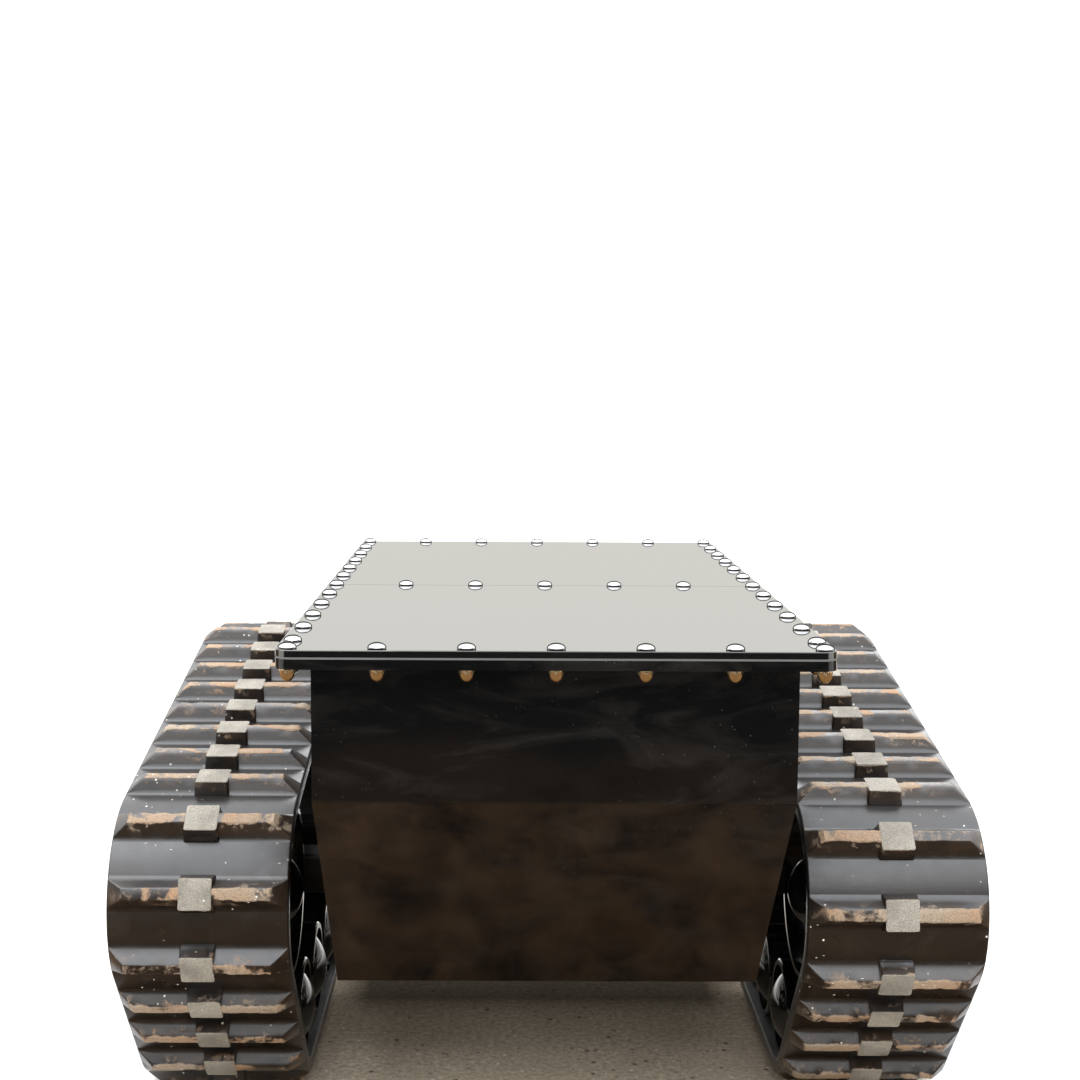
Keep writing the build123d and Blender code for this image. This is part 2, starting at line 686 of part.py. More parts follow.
with BuildPart() as bearings:
    for start in BEARING_X:
        with BuildSketch(Plane.YZ.offset(BELT_X + start)):
            with Locations(*[(y, ROAD_Z) for y in ROAD_Y], RETURN):
                Circle(BEARING[1])
                Circle(BEARING[0], mode=Mode.SUBTRACT)
        extrude(amount=BEARING[2])
    mirror(about=Plane.YZ.offset(BELT_X))
save_pair(bearings.part, "wheel_bearings")

WINDOW_BACK = IDLER_Y + SLIDER[0] / 2 + TRAVEL + SCREW_NUT[1] + 1
with BuildPart() as track_frame:
    with BuildSketch(Plane.YZ.offset(BELT_X - FRAME_HALF)):
        with Locations(((IDLER_Y - 42 + FRAME_REAR) / 2, sum(FRAME_Z) / 2)):
            RectangleRounded(FRAME_REAR - IDLER_Y + 42, FRAME_Z[1] - FRAME_Z[0], 20)
        for road_y in ROAD_Y:
            Polygon((road_y - 38, FRAME_Z[0] + 4), (road_y - 20, ROAD_Z), (road_y + 20, ROAD_Z),
                    (road_y + 38, FRAME_Z[0] + 4), align=None)
        with Locations(*[(y, ROAD_Z) for y in ROAD_Y]):
            Circle(AXLE_BOSS_R)
        Polygon((RETURN_Y - 40, FRAME_Z[1] - 4), (RETURN_Y - 15, RETURN_Z), (RETURN_Y + 15, RETURN_Z),
                (RETURN_Y + 40, FRAME_Z[1] - 4), align=None)
        with Locations(RETURN):
            Circle(16)
        with Locations(*[(y, ROAD_Z) for y in ROAD_Y], RETURN):
            Circle(AXLE_BORE, mode=Mode.SUBTRACT)
        window = WINDOW_BACK - IDLER_Y + SLIDER[0] / 2 + SLIDE_GAP
        with Locations((WINDOW_BACK - window / 2, IDLER_Z)):
            Rectangle(window, SLIDER[1] + 2 * SLIDE_GAP, mode=Mode.SUBTRACT)
        with Locations((WINDOW_BACK + WALL + 21, IDLER_Z)):
            SlotOverall(42, 22, mode=Mode.SUBTRACT)
        with Locations((66, 250), (196, 250)):
            Circle(20, mode=Mode.SUBTRACT)
    extrude(amount=2 * FRAME_HALF)
    with BuildSketch(Plane.XZ.offset(-WINDOW_BACK + 1)):
        with Locations((BELT_X, IDLER_Z)):
            Circle(SCREW_R + SCREW_FIT)
    extrude(amount=-WALL - 6, mode=Mode.SUBTRACT)
save_pair(track_frame.part, "track_frame")

with BuildPart() as slider:
    with BuildSketch(Plane.YZ.offset(BELT_X - FRAME_HALF - SLIDE_GAP)):
        with Locations(IDLER):
            Rectangle(SLIDER[0], SLIDER[1])
    extrude(amount=2 * (FRAME_HALF + SLIDE_GAP))
    for side in (-1, 1):
        with BuildSketch(Plane.YZ.offset(BELT_X + side * (FRAME_HALF + SLIDE_GAP))):
            with Locations(IDLER):
                Rectangle(SLIDER[0], SLIDER[1] + 2 * CHEEK_LIP)
        extrude(amount=side * CHEEK_T)
    with BuildSketch(Plane.YZ.offset(BELT_X - WHEEL_IN)):
        with Locations(IDLER):
            Circle(AXLE_BORE)
    extrude(amount=2 * WHEEL_IN, mode=Mode.SUBTRACT)
save_pair(slider.part, "idler_slider")

SCREW_START = IDLER_Y + SLIDER[0] / 2
SCREW_LENGTH = TRAVEL + SCREW_NUT[1] + WALL + 14
with BuildPart() as screw:
    with BuildSketch(Plane.XZ.offset(-SCREW_START)):
        with Locations((BELT_X, IDLER_Z)):
            Circle(SCREW_R)
    extrude(amount=-SCREW_LENGTH)
save_pair(screw.part, "tension_screw")

with BuildPart() as screw_nut:
    with BuildSketch(Plane.XZ.offset(-WINDOW_BACK)):
        with Locations((BELT_X, IDLER_Z)):
            RegularPolygon(SCREW_NUT[0] / 2, 6, major_radius=False)
            Circle(SCREW_R + SCREW_FIT, mode=Mode.SUBTRACT)
    extrude(amount=SCREW_NUT[1])
save_pair(screw_nut.part, "tension_nut")

with BuildPart() as brackets:
    with BuildSketch(Plane.YZ.offset(HULL_HALF)):
        with Locations(*TUBE_YZ):
            RectangleRounded(FLANGE[0], FLANGE[0], 8)
            with GridLocations(FLANGE_BOLT, FLANGE_BOLT, 2, 2):
                Circle(SCREW_R - 1, mode=Mode.SUBTRACT)
    extrude(amount=FLANGE[1])
    with BuildSketch(Plane.YZ.offset(HULL_HALF + FLANGE[1])):
        with Locations(*TUBE_YZ):
            RectangleRounded(TUBE[0], TUBE[0], 6)
            Rectangle(TUBE[0] - 2 * TUBE[1], TUBE[0] - 2 * TUBE[1], mode=Mode.SUBTRACT)
    extrude(amount=BELT_X - FRAME_HALF - HULL_HALF - FLANGE[1])
save_pair(brackets.part, "cross_brackets")

BOLT_R = SCREW_R - 1.1
HEAD = (17.0, 6.4)  # across flats, height
with BuildPart() as mount_bolts:
    for centre, spacing, seat in (
        (TUBE_YZ[0], FLANGE_BOLT, HULL_HALF + FLANGE[1]),
        (TUBE_YZ[1], FLANGE_BOLT, HULL_HALF + FLANGE[1]),
        (SPROCKET, GEARBOX_BOLT, HULL_HALF),
    ):
        with BuildSketch(Plane.YZ.offset(seat)):
            with Locations(centre):
                with GridLocations(spacing, spacing, 2, 2):
                    RegularPolygon(HEAD[0] / 2, 6, major_radius=False)
        extrude(amount=HEAD[1])
        with BuildSketch(Plane.YZ.offset(seat)):
            with Locations(centre):
                with GridLocations(spacing, spacing, 2, 2):
                    Circle(BOLT_R)
        extrude(amount=-(seat - GEARBOX_OUT + GEARBOX_FLANGE[1]))
save_pair(mount_bolts.part, "mount_bolts")


# ---------------------------------------------------------------- belt
def tapered(distance, low, high, base, crest):
    """A moulded feature between two heights off the pitch line, tapering from base to crest."""
    with BuildPart() as feature:
        with BuildSketch(belt_plane(distance, low)):
            Rectangle(*base)
        with BuildSketch(belt_plane(distance, high)):
            Rectangle(*crest)
        loft()
    return feature.part


def rubber_belt(phase):
    """The carcass with its bars and blocks outside and lugs inside, its foot pressed flat on the ground."""
    tread_root, lug_root = CARCASS_OUT - ROOT, ROOT - CARCASS_IN
    middles = [phase + i * LINK_PITCH for i in range(LINKS)]
    bars = [tapered(middle, tread_root, TREAD_TOP, BAR_BASE, BAR_CREST) for middle in middles]
    blocks = [tapered(middle, tread_root, TREAD_TOP, BLOCK_BASE, BLOCK_CREST) for middle in middles]
    lugs = [
        tapered(middle, lug_root, -CARCASS_IN - LUG_DEPTH, LUG_BASE, LUG_CREST)
        for middle in middles + [middle + TOOTH_STEP for middle in middles]
    ]
    with BuildPart() as belt:
        extrude(loop_face(CARCASS_OUT), amount=BELT_W)
        extrude(loop_face(-CARCASS_IN), amount=BELT_W, mode=Mode.SUBTRACT)
        add(bars + blocks + lugs)
        split(bisect_by=Plane.XY)
    return belt.part


for side, phase in BELT_PHASE.items():
    save_side(rubber_belt(phase), side, "track_belt")

print("idler", IDLER, "return", RETURN, "sprocket radius", SPROCKET_PITCH_R, "loop", loop_length(IDLER_Y))
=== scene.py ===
"""Looks for the tracked tank chassis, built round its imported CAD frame. Metres throughout."""

import json
import random
from math import acos, atan2, cos, hypot, pi, radians, sin

import bmesh
import bpy
from mathutils import Matrix, Vector, noise


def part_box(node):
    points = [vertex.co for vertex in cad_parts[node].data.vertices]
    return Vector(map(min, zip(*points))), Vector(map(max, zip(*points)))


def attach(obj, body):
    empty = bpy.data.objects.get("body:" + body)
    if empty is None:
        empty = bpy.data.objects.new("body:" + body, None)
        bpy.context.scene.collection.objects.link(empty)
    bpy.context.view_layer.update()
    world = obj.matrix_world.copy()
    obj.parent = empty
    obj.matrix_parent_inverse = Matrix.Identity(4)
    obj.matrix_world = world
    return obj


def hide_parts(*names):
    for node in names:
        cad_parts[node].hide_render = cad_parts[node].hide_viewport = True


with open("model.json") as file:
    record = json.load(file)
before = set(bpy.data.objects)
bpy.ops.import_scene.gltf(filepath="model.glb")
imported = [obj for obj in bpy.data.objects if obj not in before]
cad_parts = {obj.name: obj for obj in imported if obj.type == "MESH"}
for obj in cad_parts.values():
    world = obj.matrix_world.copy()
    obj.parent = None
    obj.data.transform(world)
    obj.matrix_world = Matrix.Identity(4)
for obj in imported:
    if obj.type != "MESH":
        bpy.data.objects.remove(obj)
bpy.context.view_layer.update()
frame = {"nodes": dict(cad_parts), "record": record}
SIDES = ("left", "right")
MM = 0.001


# ---------------------------------------------------------------- camera, light and floor
CAMERA_SPOT = Vector((-0.050, -2.0735, 0.8815))
CAMERA_YAW, CAMERA_PITCH, CAMERA_ROLL = radians(-0.25), radians(5.84), radians(-0.28)
CAMERA_LENS = 55.57
CAMERA_SHIFT = 0.026


def make_camera():
    """The camera, looking along +Y and a little down, near the photograph's own place."""
    data = bpy.data.cameras.new("camera")
    data.lens = CAMERA_LENS
    data.shift_x = CAMERA_SHIFT
    camera = bpy.data.objects.new("camera", data)
    bpy.context.collection.objects.link(camera)
    aim = Matrix.Rotation(CAMERA_YAW, 3, "Z") @ Matrix.Rotation(-CAMERA_PITCH, 3, "X")
    aim = aim @ Matrix.Rotation(CAMERA_ROLL, 3, "Y")
    right, ahead, up = aim.col
    turn = Matrix((right, up, -ahead)).transposed()
    camera.matrix_world = Matrix.Translation(CAMERA_SPOT) @ turn.to_4x4()
    bpy.context.scene.camera = camera


def ramp(nodes, links, source, stops):
    """A colour ramp fed by a socket."""
    node = nodes.new("ShaderNodeValToRGB")
    while len(node.color_ramp.elements) < len(stops):
        node.color_ramp.elements.new(0.5)
    for element, (place, colour) in zip(node.color_ramp.elements, stops):
        element.position = place
        element.color = (*colour, 1.0)
    links.new(source, node.inputs[0])
    return node.outputs[0]


def make_world():
    """A studio: plain white to the camera, but as light bright behind and above, and dim in front."""
    world = bpy.data.worlds.new("studio")
    bpy.context.scene.world = world
    world.use_nodes = True
    nodes, links = world.node_tree.nodes, world.node_tree.links
    nodes.clear()
    out = nodes.new("ShaderNodeOutputWorld")
    back = nodes.new("ShaderNodeBackground")
    place = nodes.new("ShaderNodeTexCoord")
    split = nodes.new("ShaderNodeSeparateXYZ")
    links.new(place.outputs["Generated"], split.inputs[0])
    behind = nodes.new("ShaderNodeMapRange")
    behind.interpolation_type = "SMOOTHSTEP"
    seen = nodes.new("ShaderNodeLightPath")
    # Gloss sees the bright part begin farther back than soft light does
    for socket, for_soft, for_gloss in (("From Min", -0.45, -0.10), ("From Max", 0.35, 0.62)):
        edge = nodes.new("ShaderNodeMapRange")
        edge.inputs["To Min"].default_value = for_soft
        edge.inputs["To Max"].default_value = for_gloss
        links.new(seen.outputs["Is Glossy Ray"], edge.inputs["Value"])
        links.new(edge.outputs[0], behind.inputs[socket])
    links.new(split.outputs["Y"], behind.inputs["Value"])
    height = ramp(nodes, links, split.outputs["Z"], (
        (0.0, (1.06, 1.045, 0.99)),
        (0.10, (1.08, 1.06, 0.99)),
        (0.17, (1.45, 1.43, 1.36)),
        (0.45, (2.3, 2.34, 2.4)),
        (1.0, (2.3, 2.36, 2.45)),
    ))
    dim = ramp(nodes, links, split.outputs["Z"], (
        (0.0, (0.05, 0.046, 0.042)),
        (0.12, (0.07, 0.068, 0.065)),
        (0.30, (1.00, 1.00, 1.00)),
        (0.50, (2.7, 2.75, 2.8)),
        (0.84, (3.3, 3.45, 3.7)),
        (1.0, (2.6, 2.7, 2.85)),
    ))
    mix = nodes.new("ShaderNodeMix")
    mix.data_type = "RGBA"
    links.new(behind.outputs[0], mix.inputs[0])
    links.new(dim, mix.inputs[6])
    links.new(height, mix.inputs[7])
    links.new(mix.outputs[2], back.inputs[0])
    sweep = nodes.new("ShaderNodeBackground")
    sweep.inputs[0].default_value = (1.02, 1.02, 1.01, 1.0)
    choose = nodes.new("ShaderNodeMixShader")
    links.new(seen.outputs["Is Camera Ray"], choose.inputs[0])
    links.new(back.outputs[0], choose.inputs[1])
    links.new(sweep.outputs[0], choose.inputs[2])
    links.new(choose.outputs[0], out.inputs[0])


def make_light(name, spot, target, size, power, colour=(1.0, 1.0, 1.0)):
    """A large soft area light aimed at a point."""
    data = bpy.data.lights.new(name, "AREA")
    data.shape = "RECTANGLE"
    data.size, data.size_y = size
    data.energy = power
    data.color = colour
    light = bpy.data.objects.new(name, data)
    bpy.context.collection.objects.link(light)
    light.location = spot
    light.rotation_euler = (Vector(target) - Vector(spot)).to_track_quat("-Z", "Y").to_euler()


# ---------------------------------------------------------------- materials
LOW_BROWN_TOP = 461.5 * MM


class Paint:
    """A node material with short helpers for its procedural inputs."""

    def __init__(self, name):
        self.material = bpy.data.materials.new(name)
        self.material.use_nodes = True
        self.nodes = self.material.node_tree.nodes
        self.links = self.material.node_tree.links
        self.shader = self.nodes["Principled BSDF"]
        self.place = self.nodes.new("ShaderNodeTexCoord").outputs["Object"]

    def link(self, source, target):
        self.links.new(source, target)

    def set(self, **values):
        """Set constants on the shader's own sockets, named with underscores for spaces."""
        for key, value in values.items():
            self.shader.inputs[key.replace("_", " ")].default_value = value

    def stretch(self, scale):
        """Object coordinates, scaled differently along each axis."""
        node = self.nodes.new("ShaderNodeMapping")
        node.inputs["Scale"].default_value = scale
        self.link(self.place, node.inputs["Vector"])
        return node.outputs[0]

    def noise(self, scale, detail=4.0, rough=0.5, where=None, distortion=0.0):
        node = self.nodes.new("ShaderNodeTexNoise")
        node.inputs["Scale"].default_value = scale
        node.inputs["Detail"].default_value = detail
        node.inputs["Roughness"].default_value = rough
        node.inputs["Distortion"].default_value = distortion
        self.link(where or self.place, node.inputs["Vector"])
        return node.outputs["Fac"]

    def dots(self, scale, radius, where=None):
        """Small scattered specks: one where a cell's centre is near enough."""
        node = self.nodes.new("ShaderNodeTexVoronoi")
        node.inputs["Scale"].default_value = scale
        self.link(where or self.place, node.inputs["Vector"])
        return self.span(node.outputs["Distance"], radius, radius * 0.5, 0.0, 1.0)

    def span(self, source, low, high, to_low, to_high):
        """Map one range of a value to another, and hold it at the ends."""
        node = self.nodes.new("ShaderNodeMapRange")
        keys = ("From Min", "From Max", "To Min", "To Max")
        for key, value in zip(keys, (low, high, to_low, to_high)):
            node.inputs[key].default_value = value
        self.link(source, node.inputs["Value"])
        return node.outputs[0]

    def maths(self, operation, first, second, clamp=False):
        node = self.nodes.new("ShaderNodeMath")
        node.operation = operation
        node.use_clamp = clamp
        for socket, value in zip(node.inputs, (first, second)):
            if isinstance(value, (int, float)):
                socket.default_value = value
            else:
                self.link(value, socket)
        return node.outputs[0]

    def mix(self, factor, first, second):
        """Mix two colours, each a tuple or a socket."""
        node = self.nodes.new("ShaderNodeMix")
        node.data_type = "RGBA"
        for number, value in ((0, factor), (6, first), (7, second)):
            socket = node.inputs[number]
            if isinstance(value, tuple):
                socket.default_value = (*value, 1.0)
            elif isinstance(value, (int, float)):
                socket.default_value = value
            else:
                self.link(value, socket)
        return node.outputs[2]

    def axis(self, name):
        """One of the object coordinates."""
        node = self.nodes.new("ShaderNodeSeparateXYZ")
        self.link(self.place, node.inputs[0])
        return node.outputs[name]

    def attribute(self, name, channel):
        """One channel of a colour painted on the mesh's vertices."""
        node = self.nodes.new("ShaderNodeAttribute")
        node.attribute_name = name
        split = self.nodes.new("ShaderNodeSeparateColor")
        self.link(node.outputs["Color"], split.inputs[0])
        return split.outputs[channel]

    def height(self, source, distance, strength=1.0):
        """Bump from a height socket, added to whatever bump the shader already has."""
        node = self.nodes.new("ShaderNodeBump")
        node.inputs["Distance"].default_value = distance
        node.inputs["Strength"].default_value = strength
        self.link(source, node.inputs["Height"])
        before = self.shader.inputs["Normal"]
        if before.is_linked:
            self.link(before.links[0].from_socket, node.inputs["Normal"])
        self.link(node.outputs[0], before)


def gloss_black(name, ior, rough, dust, tint=(0.0, 0.0, 0.0), gleam=(1.0, 1.0, 1.0), peel=0.00002,
                low_brown_mottle=False):
    """Gloss black paint with orange peel, wiped smears and settled dust; brown mottles it low down."""
    paint = Paint(name)
    paint.set(IOR=ior, Specular_Tint=(*gleam, 1.0))
    smear = paint.noise(7.0, 6.0, 0.62, where=paint.stretch((1.0, 1.0, 3.2)), distortion=1.2)
    haze = paint.span(smear, 0.48, 0.78, 0.0, 1.0)
    dusty = paint.span(paint.noise(5.0), 0.42, 0.62, 0.0, 1.0)
    specks = paint.maths("MULTIPLY", paint.dots(150.0, 0.08), dusty)
    film = paint.mix(haze, (0.003, 0.003, 0.003), tuple(0.004 + dust * 0.03 + c for c in tint))
    colour = paint.mix(paint.maths("MULTIPLY", specks, dust), film, (0.42, 0.39, 0.34))
    if low_brown_mottle:
        # brown mottles in the colour below a set height, on every face in this paint
        low = paint.span(paint.axis("Z"), LOW_BROWN_TOP, LOW_BROWN_TOP - 5 * MM, 0.0, 1.0)
        blotch = paint.span(paint.noise(11.0, 7.0, 0.68, distortion=0.9), 0.40, 0.70, 0.06, 1.0)
        colour = paint.mix(paint.maths("MULTIPLY", low, blotch), colour, (0.020, 0.012, 0.0066))
    paint.link(colour, paint.shader.inputs["Base Color"])
    grain = paint.span(paint.noise(60.0, 3.0), 0.3, 0.7, 0.0, 0.03)
    worn = paint.maths("MULTIPLY", haze, 0.16 * dust)
    level = paint.maths("ADD", paint.maths("ADD", grain, worn), rough)
    paint.link(level, paint.shader.inputs["Roughness"])
    paint.height(paint.noise(420.0, 2.0), peel)
    return paint.material


def bare_metal(name, colour, rough, brushed, metal_grain=0.12):
    """Turned, brushed or plated metal."""
    paint = Paint(name)
    paint.set(Metallic=1.0)
    lines = paint.noise(90.0, 5.0, 0.6, where=paint.stretch(brushed))
    paint.link(paint.mix(lines, tuple(c * 0.82 for c in colour), colour), paint.shader.inputs["Base Color"])
    paint.link(paint.span(lines, 0.3, 0.7, rough, rough + metal_grain), paint.shader.inputs["Roughness"])
    paint.height(lines, 0.00002)
    return paint.material


def dome_chrome(foot):
    """Polished plating, with a painted shadow at the foot of each head, which stands at a given height.

    Layer Weight darkens it towards its outline, in place of the black lid that it would mirror there.
    """
    paint = Paint("bolt_chrome")
    paint.set(Metallic=1.0, Specular_Tint=(0.3, 0.3, 0.3, 1.0))
    cloud = paint.noise(120.0, 4.0)
    bright = paint.mix(cloud, (0.64, 0.64, 0.64), (0.74, 0.74, 0.74))
    # painted shadow: the plating turns near black in a thin band where each head meets the lid
    outside_foot_shadow = paint.span(paint.axis("Z"), foot + 0.35 * MM, foot + 0.75 * MM, 0.0, 1.0)
    rim = paint.nodes.new("ShaderNodeLayerWeight")
    rim.inputs["Blend"].default_value = 0.5
    inner = paint.span(rim.outputs["Facing"], 0.62, 0.46, 0.0, 1.0)
    shown = paint.maths("MULTIPLY", outside_foot_shadow, inner)
    paint.link(paint.mix(shown, (0.03, 0.029, 0.027), bright), paint.shader.inputs["Base Color"])
    paint.link(paint.span(cloud, 0.3, 0.7, 0.04, 0.09), paint.shader.inputs["Roughness"])
    return paint.material


def moulded(name, colour, rough, grain=500.0, depth=0.00006):
    """Textured moulded plastic or rubber."""
    paint = Paint(name)
    mottle = paint.noise(25.0, 5.0)
    paint.link(paint.mix(mottle, tuple(c * 0.7 for c in colour), colour), paint.shader.inputs["Base Color"])
    paint.link(paint.span(mottle, 0.3, 0.7, rough, rough + 0.12), paint.shader.inputs["Roughness"])
    paint.height(paint.noise(grain, 2.0), depth)
    return paint.material


def bare_rubber(paint, rise, broad):
    """The belt's own rubber: near black, dusty here and there, rusty up the slopes of its bars."""
    tone = paint.span(broad, 0.3, 0.7, 0.0, 1.0)
    base = paint.mix(tone, (0.0050, 0.0036, 0.0026), (0.0130, 0.0088, 0.0058))
    dust = paint.span(paint.noise(34.0, 8.0, 0.7, distortion=0.6), 0.54, 0.80, 0.0, 0.20)
    base = paint.mix(dust, base, (0.12, 0.086, 0.058))
    rust = paint.span(paint.noise(26.0, 6.0, 0.65), 0.40, 0.68, 0.0, 0.6)
    rust = paint.maths("MULTIPLY", rust, paint.span(rise, 0.12, 0.5, 0.0, 1.0))
    return paint.mix(rust, base, (0.060, 0.031, 0.014))


def crest_wear(paint, rise, broad, grit):
    """Where the bars' crests are worn, and the sandy tan that shows there."""
    fine = paint.maths("MULTIPLY", paint.noise(130.0, 6.0, 0.7), 0.42)
    ragged = paint.maths("ADD", fine, paint.maths("MULTIPLY", broad, 0.40))
    patch = paint.span(paint.noise(17.0, 4.0, 0.6, distortion=0.8), 0.44, 0.64, 0.0, 1.0)
    steep = paint.span(rise, 0.0, 1.0, -0.7, 1.0)
    edge = paint.maths("ADD", paint.maths("ADD", steep, ragged), paint.maths("MULTIPLY", patch, 0.34))
    worn = paint.span(edge, 1.40, 1.50, 0.0, 1.0)
    spots = paint.span(paint.noise(58.0, 6.0, 0.65, distortion=0.4), 0.555, 0.60, 0.0, 1.0)
    flecks = paint.maths("MULTIPLY", paint.maths("MULTIPLY", spots, patch),
                         paint.span(rise, 0.30, 0.60, 0.0, 0.9))
    tan = paint.mix(paint.span(broad, 0.36, 0.64, 0.0, 1.0), (0.46, 0.23, 0.085), (0.44, 0.335, 0.225))
    tan = paint.mix(paint.span(grit, 0.35, 0.62, 0.0, 1.0), (0.16, 0.12, 0.085), tan)
    return paint.maths("MAXIMUM", worn, flecks), tan


def block_stone(paint, grit):
    """The gritty grey of the guide blocks' tops, grimy in patches."""
    stone = paint.mix(paint.span(grit, 0.34, 0.66, 0.0, 1.0), (0.15, 0.135, 0.110), (0.45, 0.40, 0.32))
    grime = paint.span(paint.noise(14.0, 3.0, 0.6), 0.42, 0.62, 0.0, 0.62)
    return paint.mix(grime, stone, (0.105, 0.088, 0.062))


def pale_marks(paint):
    """Pale specks in patches, and a few scratches."""
    patches = paint.span(paint.noise(11.0), 0.50, 0.60, 0.0, 1.0)
    specks = paint.maths("MULTIPLY", paint.dots(80.0, 0.125), patches)
    scratch = paint.dots(26.0, 0.05, where=paint.stretch((1.0, 6.0, 3.0)))
    return paint.maths("MAXIMUM", specks, paint.maths("MULTIPLY", scratch, 0.7))


def track_rubber():
    """Moulded rubber: satin carcass, gritty block tops, and crests worn to a sandy tan."""
    paint = Paint("track_rubber")
    rise, block, under = (paint.attribute("tread", channel) for channel in range(3))
    broad = paint.noise(9.0, 5.0, 0.6)
    grit = paint.noise(700.0, 4.0, 0.75)
    worn, tan = crest_wear(paint, rise, broad, grit)
    top = paint.maths("MULTIPLY", block, paint.span(rise, 0.93, 0.97, 0.0, 1.0))
    colour = paint.mix(worn, bare_rubber(paint, rise, broad), tan)
    colour = paint.mix(top, colour, block_stone(paint, grit))
    colour = paint.mix(pale_marks(paint), colour, (0.80, 0.74, 0.64))
    colour = paint.mix(under, colour, (0.009, 0.0085, 0.008))
    paint.link(colour, paint.shader.inputs["Base Color"])
    paint.set(IOR=1.76)
    dull = paint.maths("MAXIMUM", paint.maths("MAXIMUM", worn, top), under)
    satin = paint.span(paint.noise(60.0, 5.0), 0.3, 0.7, 0.26, 0.37)
    level = paint.maths("ADD", satin, paint.maths("MULTIPLY", dull, 0.42))
    paint.link(level, paint.shader.inputs["Roughness"])
    paint.height(paint.noise(300.0, 5.0, 0.65), 0.00010)
    paint.height(paint.maths("MULTIPLY", grit, dull), 0.0006)
    return paint.material


def concrete(paint, grit, side):
    """Brown, pitted concrete with pale chips, and a painted shadow darkening it under the rear of the
    chassis.
    """
    stone = paint.mix(paint.span(grit, 0.38, 0.64, 0.0, 1.0), (0.36, 0.29, 0.21), (0.88, 0.75, 0.58))
    broad = paint.span(paint.noise(6.0, 6.0, 0.6), 0.35, 0.70, 0.0, 0.45)
    stone = paint.mix(broad, stone, (0.42, 0.345, 0.25))
    pitted = paint.span(paint.noise(23.0), 0.45, 0.55, 0.0, 1.0)
    pits = paint.maths("MULTIPLY", paint.dots(48.0, 0.20), pitted)
    stone = paint.mix(paint.maths("MULTIPLY", pits, 0.8), stone, (0.075, 0.060, 0.045))
    chips = paint.dots(38.0, 0.13, where=paint.stretch((1.0, 1.3, 1.0)))
    stone = paint.mix(paint.maths("MULTIPLY", chips, 0.75), stone, (0.92, 0.85, 0.74))
    # painted shadow: the floor is darkened under the rear of the chassis, between the tracks
    painted_shadow = paint.maths("MULTIPLY", paint.span(paint.axis("Y"), 0.0, 0.20, 0.0, 0.92),
                         paint.span(paint.axis("Y"), 0.60, 0.40, 0.0, 1.0))
    painted_shadow = paint.maths("MULTIPLY", painted_shadow, paint.span(side, 0.36, 0.24, 0.0, 1.0))
    return paint.mix(painted_shadow, stone, (0.012, 0.010, 0.007))


def floor_concrete():
    """Concrete between the tracks, its darker brown partly painted shade, fading to a white sweep round
    them.
    """
    paint = Paint("floor")
    grit = paint.noise(130.0, 7.0, 0.85)
    side = paint.maths("ABSOLUTE", paint.axis("X"), 0.0)
    white = paint.mix(paint.span(grit, 0.40, 0.60, 0.0, 1.0), (0.74, 0.72, 0.69), (0.86, 0.85, 0.83))
    aside = paint.span(side, 0.33, 0.50, 0.0, 1.0)
    behind = paint.span(paint.axis("Y"), 0.35, 0.75, 0.0, 1.0)
    ahead = paint.span(paint.axis("Y"), -0.45, -0.85, 0.0, 1.0)
    away = paint.maths("MAXIMUM", aside, paint.maths("MAXIMUM", behind, ahead))
    # under the chassis the floor is brown concrete, darker than the sweep partly as painted shade
    paint.link(paint.mix(away, concrete(paint, grit, side), white), paint.shader.inputs["Base Color"])
    paint.set(Roughness=0.9, Specular_IOR_Level=0.0)
    paint.height(grit, 0.0012)
    return paint.material


def make_floor():
    """A large round floor."""
    mesh = bpy.data.meshes.new("floor")
    work = bmesh.new()
    bmesh.ops.create_circle(work, cap_ends=True, radius=14.0, segments=96)
    work.to_mesh(mesh)
    work.free()
    floor = bpy.data.objects.new("floor", mesh)
    bpy.context.collection.objects.link(floor)
    mesh.materials.append(floor_concrete())


FLAG_CARDS = ((-3, 3, -7, -0.16), (-7, -0.75, -0.16, 2.5), (0.75, 7, -0.16, 2.5))
FLAG_HEIGHT = 2 * MM


def make_flag():
    """Flags lying before and beside the chassis, seen only in gloss as a painted reflection: brown near it,
    dark beyond.
    """
    corners, faces = [], []
    for left, right, front, back in FLAG_CARDS:
        faces.append(range(len(corners), len(corners) + 4))
        outline = ((left, front), (right, front), (right, back), (left, back))
        corners += [(x, y, FLAG_HEIGHT) for x, y in outline]
    mesh = bpy.data.meshes.new("flag")
    mesh.from_pydata(corners, [], faces)
    flag = bpy.data.objects.new("flag", mesh)
    bpy.context.collection.objects.link(flag)
    cloth = Paint("flag")
    wander = cloth.maths("MULTIPLY", cloth.noise(2.2, 3.0), 1.6)
    near = cloth.span(cloth.maths("ADD", cloth.axis("Y"), wander), -1.95, -1.75, 0.0, 1.0)
    blotch = cloth.span(cloth.noise(11.0, 6.0, 0.65, distortion=0.7), 0.36, 0.72, 0.0, 1.0)
    # painted reflection: brown blotches near the chassis and dark grey beyond, shown only in gloss
    brown = cloth.mix(blotch, (0.012, 0.0085, 0.006), (0.26, 0.158, 0.088))
    cloth.link(cloth.mix(near, (0.020, 0.019, 0.018), brown), cloth.shader.inputs["Base Color"])
    cloth.set(Roughness=0.95, Specular_IOR_Level=0.0)
    mesh.materials.append(cloth.material)
    flag.visible_camera = False
    flag.visible_diffuse = False
    flag.visible_shadow = False


